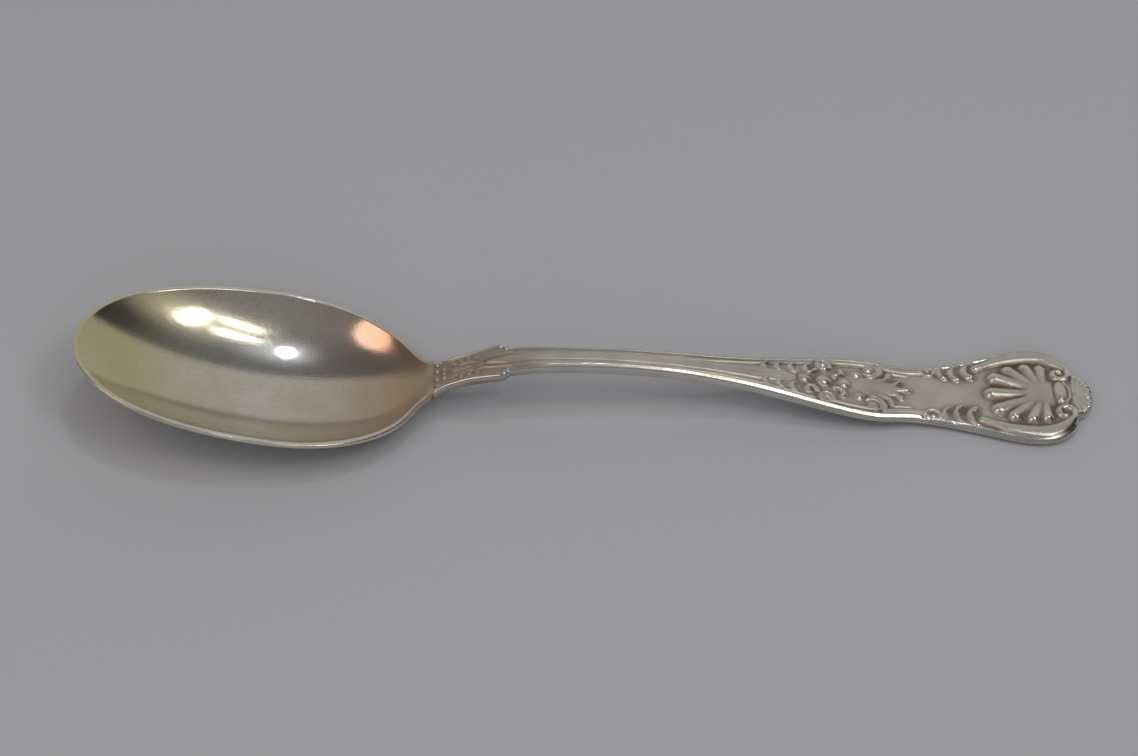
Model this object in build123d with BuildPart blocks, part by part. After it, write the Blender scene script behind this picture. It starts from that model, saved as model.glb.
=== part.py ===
from build123d import *
from math import acos, asin, atan2, cos, degrees, hypot, radians, sin, sqrt, tan
import os

# Teaspoon with a struck shell-and-scroll handle, in millimetres.
# X runs from the tip of the bowl to the end of the handle, Y across and Z up.
# The table is Z = 0, and the origin lies on it under the middle of the spoon's length.

# Whole spoon
overall_length = 148.0

# Bowl
bowl_length = 51.4  # tip to the joint line across the neck
bowl_width = 32.4
bowl_depth = 6.6  # hollow below the plane of the rim
bowl_wall = 0.9  # at the bottom of the bowl
rim_land = 0.7  # flat top edge of the rim
rim_edge = 0.5  # upright outer edge of the rim
rim_tilt = 10.6  # degrees by which the rim rises towards the tip
tip_to_widest = 28.5
tip_to_deepest = 27.0
heel_gap = 1.2  # from the end of the rim's egg shape to the joint line
tip_fullness = 2.2  # exponent of the rounded tip, where 2 is an ellipse
heel_fullness = 2.0
heel_blend = 4.0  # how tightly the egg shape runs into the neck
heel_rise = 8.0  # how late the rim lifts to meet the neck
neck_swell = 4.0  # how late the wall thickens towards the neck
wear_depth = 0.06  # rubbed off the underside of the bowl
heel_dish = 0.05  # hollow left at the joint line

# Handle from the side
neck_run = 16.6  # joint line to the highest point of the stem
neck_radius = 37.0
neck_side = 1.2  # upright side of the neck at the joint line
stem_height = 9.45
stem_thickness = 2.2
arch_softness = 0.906  # share of the fall to the foot spent in the arch's two arcs, where 1 leaves no ramp
stem_share = 0.61  # of the two arcs' radii together, which goes to the upper one
foot_length = 17.0  # flat stretch that rests on the table
end_thickness = 1.4

# Handle from above: widths, and where they lie from the joint line or back from the end
neck_root_width = 6.9
neck_slope = 0.35  # how far each side closes in, per length, at the joint line
neck_waist_width = 5.8
neck_waist_run = 4.2
shoulder_width = 6.9
shoulder_run = 10.2
shoulder_slope = 0.05
shoulder_step = 0.8
stem_root_width = 4.8
stem_width = 4.2
stem_narrow_run = 24.6
stem_taper = 0.03  # how far each side of the stem closes in, per length, behind the shoulders
flare_width = 6.6
flare_back = 50.0
flare_slope = 0.15  # how far each side opens there, per length
fiddle_width = 12.1
fiddle_back = 32.5
waist_width = 11.1
waist_back = 27.0
end_flare_width = 14.4
end_flare_back = 18.0
end_width = 19.3
corner_length = 5.8
corner_drop = 4.75
crest_length = 2.7
crest_width = 8.6

# Struck relief on the stem and the neck
relief_height = 0.35
relief_sink = 0.08  # how far the centres of balls and bars lie under the face
thread_width = 1.0
rib_width = 1.5
rib_leaf_width = 2.6
rib_leaf_back = 49.0
rib_end_width = 0.8
rib_end_back = 43.7
neck_ball = 0.42
neck_ball_count = 4
neck_ball_pitch = 1.3
neck_leaf_run = 4.0  # joint line to the fat ends of the front leaves
neck_leaf_length = 4.4
neck_leaf_head = 0.75
neck_leaf_spread = 1.6

# Struck relief in the middle of the handle, placed back from its end
husk_count = 4
husk_back = 48.4
husk_pitch = 2.0
husk_out = 1.95
husk_out_step = 0.28
husk_length = 1.1
husk_head = 0.5
drop_tail = 0.2
blossom_ball = 1.0
blossom_back = 42.2
blossom_pitch = 2.7
petal_back = 36.0
petal_out = 2.2
small_volute_back = 39.5
small_volute_out = 2.9
small_volute = 0.8
large_volute_back = 32.8
large_volute_out = 3.3
large_volute = 1.15
scroll_bar = 0.4
volute_turn = 250.0  # degrees of curl
palmette_back = 31.6
palmette_root = 0.8
palmette_length = 3.6
palmette_head = 0.6
palmette_fan = 29.0  # degrees between leaves
waist_volute_back = 23.8
waist_volute_out = 3.7
waist_volute = 0.65
waist_husk_back = 20.8
waist_husk_pitch = 1.7
waist_husk_out = 3.7

# Struck relief on the broad end
shell_back = 7.6
shell_flutes = 9
shell_fan = 190.0  # degrees from the first flute to the last
shell_length = 7.2  # middle flute
shell_side_length = 4.3
flute_head = 1.6
flute_sink = 1.05
flute_tail = 0.4
flute_root = 0.9
end_scroll_back = 16.4
end_scroll_out = 6.35
end_scroll_heading = 22.0
end_scroll_radius = 24.0
end_corner_radius = 3.6
end_scroll_bar = 1.2
end_scroll_sink = 0.6
end_volute_back = 4.5
end_volute_out = 4.0
end_volute = 1.05
end_volute_bar = 0.5
boss_back = 4.6
boss_length = 1.7
boss_width = 4.4
boss_sink = 0.15
crest_flutes = 9
crest_fan = 150.0
crest_back = 3.1
crest_reach = 2.1
crest_side_reach = 3.3
crest_head = 0.4

# Drop under the heel of the bowl
heel_drop_run = 5.5
heel_drop_head = 3.0
heel_drop_tail = 1.2
heel_drop_proud = 0.4

x_tip = -overall_length / 2
x_end = overall_length / 2
x_joint = x_tip + bowl_length
x_widest = x_tip + tip_to_widest
x_deepest = x_tip + tip_to_deepest
x_shoulder = x_joint + shoulder_run
x_stem = x_shoulder + shoulder_step
x_narrow = x_joint + stem_narrow_run
x_peak = x_joint + neck_run
x_foot = x_end - foot_length
x_notch = x_end - crest_length
x_corner = x_notch - corner_length
notch_half = end_width / 2 - corner_drop


class ArchLine:
    """Side view of the handle: neck arc, stem arc, straight ramp, foot arc and flat foot."""

    def __init__(self, peak, foot):
        self.peak = peak
        self.foot = foot
        run = x_foot - x_peak
        fall = peak - foot
        radii = arch_softness * (run**2 + fall**2) / (2 * fall)
        self.stem_radius = stem_share * radii
        self.foot_radius = radii - self.stem_radius
        self.slope = atan2(run, radii - fall) - acos(radii / hypot(run, radii - fall))
        self.ramp_start = x_peak + self.stem_radius * sin(self.slope)
        self.ramp_end = x_foot - self.foot_radius * sin(self.slope)

    def height(self, x):
        stem, foot = self.stem_radius, self.foot_radius
        if x < x_peak:
            return self.peak - neck_radius + sqrt(neck_radius**2 - (x_peak - x) ** 2)
        if x < self.ramp_start:
            return self.peak - stem + sqrt(stem**2 - (x - x_peak) ** 2)
        if x < self.ramp_end:
            start = self.peak - stem * (1 - cos(self.slope))
            return start - (x - self.ramp_start) * tan(self.slope)
        if x < x_foot:
            return self.foot + foot - sqrt(foot**2 - (x_foot - x) ** 2)
        return self.foot

    def point(self, x):
        return (x, self.height(x))

    def draw(self):
        """Adds the line to the sketch in hand, from the joint line to the handle's end."""
        for first, last in ((x_joint, x_peak), (x_peak, self.ramp_start)):
            ThreePointArc(self.point(first), self.point((first + last) / 2), self.point(last))
        Line(self.point(self.ramp_start), self.point(self.ramp_end))
        middle = (self.ramp_end + x_foot) / 2
        ThreePointArc(self.point(self.ramp_end), self.point(middle), self.point(x_foot))
        Line(self.point(x_foot), self.point(x_end))


face_line = ArchLine(stem_height, end_thickness)
raised_line = ArchLine(stem_height + relief_height, end_thickness + relief_height)
back_line = ArchLine(stem_height - stem_thickness, 0)
sunk_line = ArchLine(stem_height - overall_length, end_thickness - overall_length)


def side_sketch(lower, upper):
    """The slice between two arch lines, seen from the side."""
    with BuildSketch(Plane.XZ) as side:
        with BuildLine():
            lower.draw()
            Line(lower.point(x_end), upper.point(x_end))
            upper.draw()
            Line(lower.point(x_joint), upper.point(x_joint))
        make_face()
    return side.sketch


def handle_outline(inset=0):
    """The handle's outline from above, with its sides moved in by an inset."""
    with BuildSketch() as outline:
        with BuildLine():
            Line((x_joint, 0), (x_joint, neck_root_width / 2 - inset))
            Spline(
                (x_joint, neck_root_width / 2 - inset),
                (x_joint + neck_waist_run, neck_waist_width / 2 - inset),
                (x_shoulder, shoulder_width / 2 - inset),
                tangents=((1, -neck_slope), (1, shoulder_slope)),
            )
            Line((x_shoulder, shoulder_width / 2 - inset), (x_stem, stem_root_width / 2 - inset))
            Spline(
                (x_stem, stem_root_width / 2 - inset),
                (x_narrow, stem_width / 2 - inset),
                (x_end - flare_back, flare_width / 2 - inset),
                (x_end - fiddle_back, fiddle_width / 2 - inset),
                tangents=((1, -stem_taper), (1, 0), (1, flare_slope), (1, 0)),
            )
            Spline(
                (x_end - fiddle_back, fiddle_width / 2 - inset),
                (x_end - waist_back, waist_width / 2 - inset),
                (x_end - end_flare_back, end_flare_width / 2 - inset),
                (x_corner, end_width / 2 - inset),
                tangents=((1, 0), (1, 0)),
            )
            EllipticalCenterArc((x_corner, notch_half - inset), corner_length, corner_drop, arc_size=90)
            Line((x_notch, notch_half - inset), (x_notch, crest_width / 2 - inset))
            EllipticalCenterArc((x_notch, 0), crest_length, crest_width / 2 - inset, arc_size=90)
            mirror(about=Plane.XZ)
        make_face()
    return outline.sketch


# Heights and half widths of the bowl along its length
rim_slope = tan(radians(rim_tilt))
heel_run = x_joint - x_deepest
tilt_drop = (rim_slope * heel_run) ** 2 / (4 * bowl_depth)
deepest_rim = bowl_wall - wear_depth + bowl_depth + tilt_drop
flat_rim_at_joint = deepest_rim - rim_slope * heel_run
joint_lift = face_line.height(x_joint) - flat_rim_at_joint


def heel_share(x):
    """0 up to the deepest point of the bowl, rising to 1 at the joint line."""
    return max(0, x - x_deepest) / heel_run


def rim_height(x):
    return deepest_rim + rim_slope * (x_deepest - x) + joint_lift * heel_share(x) ** heel_rise


def rim_half_width(x, inset):
    """Half the width of the egg-shaped rim, run into the neck at the heel."""
    half = bowl_width / 2 - inset
    if x < x_widest:
        reach, fullness, neck = tip_to_widest - inset, tip_fullness, 0
    else:
        reach, fullness = x_joint - heel_gap - inset - x_widest, heel_fullness
        neck = neck_root_width / 2 - inset
    share = min(1, abs(x - x_widest) / reach)
    egg = half * (1 - share**fullness) ** (1 / fullness)
    return (egg**heel_blend + neck**heel_blend) ** (1 / heel_blend)


def depth(x, inset, deepest):
    """How far the middle of the bowl lies under its rim."""
    if x < x_deepest:
        return deepest * (1 - ((x_deepest - x) / (tip_to_deepest - inset)) ** tip_fullness)
    return bowl_depth * (1 - heel_share(x) ** heel_fullness) + heel_dish * heel_share(x)


def outer_depth(x):
    if x < x_deepest:
        return depth(x, 0, bowl_depth + bowl_wall)
    joint_depth = face_line.height(x_joint) - back_line.height(x_joint)
    swell = (joint_depth - heel_dish - bowl_wall) * heel_share(x) ** neck_swell
    return depth(x, 0, bowl_depth) + bowl_wall + swell


def outer_section(x):
    """Cross-section of the bowl as if it were full to the rim."""
    half = rim_half_width(x, 0)
    rim = rim_height(x)
    edge = rim_edge + (neck_side - rim_edge) * heel_share(x) ** neck_swell
    corner = rim - min(edge, outer_depth(x) / 2)
    with BuildSketch(Plane.YZ.offset(x)) as section:
        with BuildLine():
            Polyline((-half, corner), (-half, rim), (half, rim), (half, corner))
            ThreePointArc((-half, corner), (0, rim - outer_depth(x)), (half, corner))
        make_face()
    return section.sketch


def hollow_section(x):
    """Cross-section of the hollow, carried up past the rim."""
    half = rim_half_width(x, rim_land)
    rim = rim_height(x)
    top = rim + bowl_depth
    bottom = rim - depth(x, rim_land, bowl_depth)
    with BuildSketch(Plane.YZ.offset(x)) as section:
        with BuildLine():
            Polyline((-half, rim), (-half, top), (half, top), (half, rim))
            ThreePointArc((-half, rim), (0, bottom), (half, rim))
        make_face()
    return section.sketch


def bowl_stations(inset):
    """Places of the cross-sections, close together where the tip rounds and the heel turns."""
    shares = (0.001, 0.03, 0.1, 0.22, 0.38, 0.55, 0.7, 0.82, 0.9, 0.955, 1)
    return [x_tip + inset + share * (bowl_length - inset) for share in shares]


# The bowl as a full solid, which the heel drop is fitted against
with BuildPart() as full_bowl:
    loft([outer_section(x) for x in bowl_stations(0)])
    split(bisect_by=Plane.XY)

# Bowl: the full solid with its hollow taken out, rubbed flat where it meets the table
with BuildPart() as bowl:
    add(full_bowl.part)
    loft([hollow_section(x) for x in bowl_stations(rim_land)], mode=Mode.SUBTRACT)

# Handle blank: the outline cut from a strip that is bent to the side view
with BuildPart() as handle:
    extrude(side_sketch(back_line, face_line), amount=end_width, both=True)
    extrude(handle_outline(), amount=2 * stem_height, mode=Mode.INTERSECT)

# Everything under the handle's face, which seats the relief when it is taken away
with BuildPart() as ground:
    extrude(side_sketch(sunk_line, face_line), amount=end_width, both=True)


def face_point(x, y):
    """A point just under the handle's face, where the relief has its centres."""
    return Vector(x, y, face_line.height(x) - relief_sink)


def face_plane(x, reach):
    """A plane under the handle's face at x, leaning as the face does within reach."""
    rise = (face_line.height(x + reach) - face_line.height(x - reach)) / (2 * reach)
    return Plane(origin=face_point(x, 0), x_dir=(1, 0, rise), z_dir=(-rise, 0, 1))


def drop(tail, head, tail_radius, head_radius):
    """A teardrop in the part in hand: two balls of unlike size and the cone that wraps them."""
    length = (head - tail).length
    lean = (head_radius - tail_radius) / length
    rise = sqrt(1 - lean**2)
    tail_end = (-tail_radius, 0)
    tail_bend = (-tail_radius * sqrt((1 + lean) / 2), tail_radius * sqrt((1 - lean) / 2))
    tail_side = (-tail_radius * lean, tail_radius * rise)
    head_side = (length - head_radius * lean, head_radius * rise)
    head_bend = (length + head_radius * sqrt((1 - lean) / 2), head_radius * sqrt((1 + lean) / 2))
    head_end = (length + head_radius, 0)
    across = (head - tail).cross(Vector(0, 0, 1))
    with BuildSketch(Plane(origin=tail, x_dir=head - tail, z_dir=across)) as half:
        with BuildLine():
            ThreePointArc(tail_end, tail_bend, tail_side)
            Line(tail_side, head_side)
            ThreePointArc(head_side, head_bend, head_end)
            Line(head_end, tail_end)
        make_face()
    revolve(half.sketch, axis=Axis(tail, head - tail))


def ball(x, y, radius):
    with Locations(face_point(x, y)):
        Sphere(radius)


def bar_along(path, radius):
    """A round bar along a path."""
    with BuildSketch(path ^ 0) as section:
        Circle(radius)
    sweep(section.sketch, path=path)


# Edge thread: a raised band along both edges from the neck's shoulders to the end scrolls
with BuildPart() as edge_thread:
    extrude(side_sketch(face_line, raised_line), amount=end_width, both=True)
    extrude(handle_outline(), amount=2 * stem_height, mode=Mode.INTERSECT)
    split(bisect_by=Plane.YZ.offset(x_stem))
    x_thread_end = x_end - end_scroll_back - end_scroll_bar
    split(bisect_by=Plane.YZ.offset(x_thread_end), keep=Keep.BOTTOM)
    extrude(handle_outline(thread_width), amount=2 * stem_height, mode=Mode.SUBTRACT)

# Stem rib: the plain middle band of the stem, which opens into a leaf
with BuildSketch() as rib_plan:
    with BuildLine():
        root = (x_stem, rib_width / 2)
        narrow = (x_narrow, rib_width / 2)
        leaf = (x_end - rib_leaf_back, rib_leaf_width / 2)
        leaf_end = (x_end - rib_end_back, rib_end_width / 2)
        Polyline((x_stem, 0), root, narrow)
        Spline(narrow, leaf, tangents=((1, 0), (1, 0)))
        Spline(leaf, leaf_end, tangents=((1, 0), (1, 0)))
        Line(leaf_end, (x_end - rib_end_back, 0))
        mirror(about=Plane.XZ)
    make_face()
with BuildPart() as stem_rib:
    extrude(rib_plan.sketch, amount=2 * stem_height)
    extrude(side_sketch(face_line, raised_line), end_width, both=True, mode=Mode.INTERSECT)

# Neck leaf: a row of beads at the joint line and leaves that point up the stem
with BuildPart() as neck_leaf:
    for index in range(neck_ball_count):
        y = (index - (neck_ball_count - 1) / 2) * neck_ball_pitch
        ball(x_joint + 1.5 * neck_ball, y, neck_ball)
    x_leaf = x_joint + neck_leaf_run
    for out in (-neck_leaf_spread, 0, neck_leaf_spread):
        tip = face_point(x_leaf + neck_leaf_length, out / 3)
        drop(tip, face_point(x_leaf, out), drop_tail, neck_leaf_head)
    add(ground.part, mode=Mode.SUBTRACT)

# Husk rows: overlapping husks along both sides of the rib's leaf
with BuildPart() as husk_rows:
    for index in range(husk_count):
        x = x_end - husk_back + index * husk_pitch
        y = husk_out + index * husk_out_step
        drop(face_point(x - husk_length, y - husk_out_step), face_point(x, y), drop_tail, husk_head)
    add(ground.part, mode=Mode.SUBTRACT)
    mirror(about=Plane.XZ)

# Middle blossom: a line of balls with a petal on each side
with BuildPart() as middle_blossom:
    for index in range(3):
        ball(x_end - blossom_back + index * blossom_pitch, 0, blossom_ball)
    for side in (-1, 1):
        root = face_point(x_end - petal_back - husk_length, side * petal_out / 2)
        drop(root, face_point(x_end - petal_back, side * petal_out), drop_tail, husk_head)
    add(ground.part, mode=Mode.SUBTRACT)

# Middle scrolls: a C-scroll on each side that curls into a small and a large volute
with BuildPart() as middle_scrolls:
    run = small_volute_back - large_volute_back
    x_middle = x_end - (small_volute_back + large_volute_back) / 2
    eye_distance = hypot(run, large_volute_out - small_volute_out)
    lean = atan2(large_volute_out - small_volute_out, run)
    lean += asin((large_volute - small_volute) / eye_distance)
    away = Vector(-sin(lean), cos(lean))
    small_eye = Vector(-run / 2, small_volute_out)
    large_eye = Vector(run / 2, large_volute_out)
    top = 90 + degrees(lean)
    with BuildLine(mode=Mode.PRIVATE) as scroll:
        CenterArc(small_eye, small_volute, top + volute_turn, -volute_turn)
        Line(small_eye + away * small_volute, large_eye + away * large_volute)
        CenterArc(large_eye, large_volute, top, -volute_turn)
    bar_along(face_plane(x_middle, run / 2) * scroll.line, scroll_bar)
    add(ground.part, mode=Mode.SUBTRACT)
    mirror(about=Plane.XZ)

# Palmette: a fan of five leaves that points to the handle's end
with BuildPart() as palmette:
    for turn in range(-2, 3):
        angle = radians(turn * palmette_fan)
        reach = palmette_length * cos(angle / 2) ** 2
        tail, head = (
            face_point(x_end - palmette_back + out * cos(angle), out * sin(angle))
            for out in (palmette_root, palmette_root + reach)
        )
        drop(tail, head, drop_tail, palmette_head)
    add(ground.part, mode=Mode.SUBTRACT)

# Waist scrolls: a small volute on each side of the waist
with BuildPart() as waist_scrolls:
    with BuildLine(mode=Mode.PRIVATE) as curl:
        CenterArc((0, waist_volute_out), waist_volute, 0, volute_turn)
    bar_along(face_plane(x_end - waist_volute_back, waist_volute) * curl.line, scroll_bar)
    add(ground.part, mode=Mode.SUBTRACT)
    mirror(about=Plane.XZ)

# Waist husks: two husks on each side that lead into the broad end
with BuildPart() as waist_husks:
    for index in range(2):
        x = x_end - waist_husk_back + index * waist_husk_pitch
        y = waist_husk_out + index * husk_out_step
        drop(face_point(x - husk_length, y - husk_head), face_point(x, y), drop_tail, husk_head)
    add(ground.part, mode=Mode.SUBTRACT)
    mirror(about=Plane.XZ)

# End shell: a scallop of teardrop flutes that spread from one hub
with BuildPart() as end_shell:
    hub = face_point(x_end - shell_back, 0)
    for index in range(shell_flutes):
        angle = radians(180 + shell_fan * (index / (shell_flutes - 1) - 0.5))
        side = (1 + cos(angle)) / (1 - cos(radians(180 - shell_fan / 2)))
        reach = shell_length + (shell_side_length - shell_length) * side
        along = Vector(cos(angle), sin(angle), 0)
        head = hub + along * reach - Vector(0, 0, flute_sink)
        drop(hub + along * flute_root, head, flute_tail, flute_head)
    split(bisect_by=Plane.XY.offset(end_thickness))

# End scrolls: a broad rounded band along each corner that curls into a volute
with BuildPart() as end_scrolls:
    with BuildLine(mode=Mode.PRIVATE) as band:
        heading = (cos(radians(end_scroll_heading)), sin(radians(end_scroll_heading)))
        start = (x_end - end_scroll_back, end_scroll_out)
        side_arc = JernArc(start, heading, end_scroll_radius, -end_scroll_heading)
        JernArc(side_arc @ 1, side_arc % 1, end_corner_radius, -90)
    band_path = Plane.XY.offset(end_thickness - end_scroll_sink) * band.line
    bar_along(band_path, end_scroll_bar)
    with Locations(band_path @ 0):
        Sphere(end_scroll_bar)
    with Locations(face_point(x_end - end_volute_back, end_volute_out)):
        Torus(end_volute, end_volute_bar)
    split(bisect_by=Plane.XY.offset(end_thickness))
    mirror(about=Plane.XZ)

# End boss: an oval pearl between the volutes
with BuildPart() as end_boss:
    with BuildSketch(Plane.XY.offset(end_thickness - boss_sink)) as half_boss:
        with Locations((x_end - boss_back, 0)):
            Ellipse(boss_length / 2, boss_width / 2)
        split(bisect_by=Plane.YZ.offset(x_end - boss_back))
    revolve(axis=Axis((x_end - boss_back, 0, end_thickness - boss_sink), (0, 1, 0)))
    split(bisect_by=Plane.XY.offset(end_thickness))

# End crest: a fan of small flutes on the rounded tip
with BuildPart() as end_crest:
    root = face_point(x_end - crest_back, 0)
    for index in range(crest_flutes):
        angle = radians(crest_fan * (index / (crest_flutes - 1) - 0.5))
        reach = crest_reach + (crest_side_reach - crest_reach) * abs(sin(angle))
        along = Vector(cos(angle), sin(angle), 0)
        drop(root + along * (reach / 3), root + along * reach, drop_tail, crest_head)
    split(bisect_by=Plane.XY.offset(end_thickness))

# Heel drop: the tongue of the neck that runs out under the bowl
with BuildPart() as heel_drop:
    x_drop = x_joint - heel_drop_run
    x_drop_tail = x_joint + heel_drop_tail
    head_bottom = rim_height(x_drop) - outer_depth(x_drop) - heel_drop_proud
    tail_bottom = back_line.height(x_drop_tail) - heel_drop_proud
    head = Vector(x_drop, 0, head_bottom + heel_drop_head)
    drop(Vector(x_drop_tail, 0, tail_bottom + heel_drop_tail), head, heel_drop_tail, heel_drop_head)
    add([full_bowl.part, handle.part], mode=Mode.SUBTRACT)
    neck_middle = (face_line.height(x_joint) + back_line.height(x_joint)) / 2
    split(bisect_by=Plane.XY.offset(neck_middle), keep=Keep.BOTTOM)

pieces = {
    "bowl": bowl,
    "handle": handle,
    "edge_thread": edge_thread,
    "stem_rib": stem_rib,
    "neck_leaf": neck_leaf,
    "husk_rows": husk_rows,
    "middle_blossom": middle_blossom,
    "middle_scrolls": middle_scrolls,
    "palmette": palmette,
    "waist_scrolls": waist_scrolls,
    "waist_husks": waist_husks,
    "end_shell": end_shell,
    "end_scrolls": end_scrolls,
    "end_boss": end_boss,
    "end_crest": end_crest,
    "heel_drop": heel_drop,
}
os.makedirs("parts", exist_ok=True)
for name, piece in pieces.items():
    piece.part.label = name
    export_step(piece.part, f"parts/{name}.step")
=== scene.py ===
from functools import lru_cache, partial
from math import acos, atan2, cos, hypot, pi, radians, sin, tan
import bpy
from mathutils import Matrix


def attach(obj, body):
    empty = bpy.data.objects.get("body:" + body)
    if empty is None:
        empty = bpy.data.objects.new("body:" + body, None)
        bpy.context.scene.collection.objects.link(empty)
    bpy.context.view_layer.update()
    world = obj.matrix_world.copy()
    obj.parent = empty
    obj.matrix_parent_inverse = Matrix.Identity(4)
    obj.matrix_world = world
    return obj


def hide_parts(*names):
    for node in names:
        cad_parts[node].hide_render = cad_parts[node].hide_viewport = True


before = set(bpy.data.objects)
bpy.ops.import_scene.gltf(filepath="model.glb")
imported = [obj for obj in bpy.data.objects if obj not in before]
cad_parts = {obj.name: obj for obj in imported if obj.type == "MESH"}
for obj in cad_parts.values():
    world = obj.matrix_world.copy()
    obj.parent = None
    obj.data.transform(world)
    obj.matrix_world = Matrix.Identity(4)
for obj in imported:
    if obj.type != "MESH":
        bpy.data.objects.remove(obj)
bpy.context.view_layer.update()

from types import SimpleNamespace

import bpy
import numpy as np
from bpy.props import FloatProperty, FloatVectorProperty, PointerProperty
from mathutils import Matrix, Vector
from mathutils.kdtree import KDTree

bl_info = {
    "name": "Shell and scroll teaspoon",
    "version": (1, 0, 0),
    "blender": (4, 5, 0),
    "location": "3D View > Sidebar > Teaspoon",
    "description": "Builds a struck silver-plate teaspoon piece by piece around its solids",
    "category": "Add Mesh",
}


def linear(hex_colour):
    """The linear colour of an sRGB hex value."""
    shares = [int(hex_colour[i : i + 2], 16) / 255 for i in (0, 2, 4)]
    return tuple(s / 12.92 if s <= 0.04045 else ((s + 0.055) / 1.055) ** 2.4 for s in shares)


# Settings that a user would change


class TeaspoonSizes(bpy.types.PropertyGroup):
    """Sizes of the spoon."""

    length: FloatProperty(
        name="Length", description="Tip of the bowl to the end of the handle", default=0.148, unit="LENGTH"
    )
    bowl_length: FloatProperty(
        name="Bowl length",
        description="Tip of the bowl to the joint line on the neck",
        default=0.0514,
        unit="LENGTH",
    )
    bowl_width: FloatProperty(
        name="Bowl width", description="Across the widest part of the rim", default=0.0324, unit="LENGTH"
    )
    bowl_depth: FloatProperty(
        name="Bowl depth", description="Hollow below the plane of the rim", default=0.0066, unit="LENGTH"
    )
    rim_tilt: FloatProperty(
        name="Rim tilt", description="Rise of the rim to the tip", default=radians(10.6), subtype="ANGLE"
    )
    stem_height: FloatProperty(
        name="Stem height", description="Highest point of the stem's face", default=0.00945, unit="LENGTH"
    )
    end_width: FloatProperty(
        name="End width", description="Across the broad end of the handle", default=0.0193, unit="LENGTH"
    )
    relief: FloatProperty(
        name="Relief",
        description="Height of the struck relief against the usual one",
        default=1.0,
        min=0.2,
        max=1.5,
    )


class TeaspoonColours(bpy.types.PropertyGroup):
    """Colours of the metal and the paper it lies on."""

    bowl_metal: FloatVectorProperty(
        name="Bowl metal", description="Silver under the film", subtype="COLOR", default=linear("e2e1df")
    )
    handle_metal: FloatVectorProperty(
        name="Handle metal", description="Worn silver", subtype="COLOR", default=linear("dddad5")
    )
    copper_bloom: FloatVectorProperty(
        name="Copper bloom", description="Warm film on the heel", subtype="COLOR", default=linear("b48d66")
    )
    tarnish: FloatVectorProperty(
        name="Tarnish", description="Brown film in the recesses", subtype="COLOR", default=linear("7b6a53")
    )
    paper: FloatVectorProperty(
        name="Paper", description="Pale grey paper of the floor", subtype="COLOR", default=linear("a6a8ad")
    )


class TeaspoonSettings(bpy.types.PropertyGroup):
    """All settings of the spoon."""

    sizes: PointerProperty(name="Sizes", description="Sizes of the spoon", type=TeaspoonSizes)
    colours: PointerProperty(name="Colours", description="Colours of the scene", type=TeaspoonColours)


# The spoon's shape in millimetres, by the same rules as its solids

MM = 0.001
BOWL_WALL = 0.9
RIM_LAND = 0.7  # flat top edge of the rim
RIM_EDGE = 0.5  # upright outer edge of the rim
RIM_ROUND = 0.22
NECK_SIDE = 1.2  # upright side of the neck at the joint line
TIP_TO_WIDEST = 28.5
TIP_TO_DEEPEST = 27.0
TIP_TRIM = 0.06  # keeps the rounded tip inside the solid's tip
HEEL_GAP = 1.0
TIP_FULLNESS = 2.2
HEEL_FULLNESS = 2.0
HEEL_BEND = 5.2  # length of the bend from the egg shape into the neck
HEEL_RISE = 8.0
NECK_SWELL = 4.0
WEAR_DEPTH = 0.06
NECK_HALF = 3.45
NECK_SLOPE = 0.45  # how far each side opens towards the bowl at the joint line
NECK_RUN = 16.6
NECK_RADIUS = 37.0
STEM_THICKNESS = 2.2
ARCH_SOFTNESS = 0.906
STEM_SHARE = 0.61
FOOT_LENGTH = 17.0
END_THICKNESS = 1.4
CORNER_LENGTH = 5.8
CORNER_DROP = 4.75
CREST_LENGTH = 2.7
CREST_HALF = 4.3
CAP_REACH = 0.06  # how far from the joint line a face still counts as its flat end
FACE_ROUND = 0.24  # rounding of the handle's upper edge
CROWN_RISE = 0.3  # how far the broad end's face is domed
RELIEF_LEAST = 0.012  # height from which a place counts as relief
RELIEF_ROOT = 0.06  # how far the relief reaches into the blank
RECESS_DEPTH = 0.11  # depth below the ridges around it at which a recess is fully tarnished
WORN_HIGHLIGHT_RISE = 0.22  # height above the ground around it at which a ridge is worn bright and given a painted highlight
WORN_HIGHLIGHT_EDGE = 0.9  # width of the handle's edge that is worn bright and given a painted highlight


def unit(value):
    """A value held between 0 and 1."""
    return np.clip(value, 0, 1)


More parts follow.
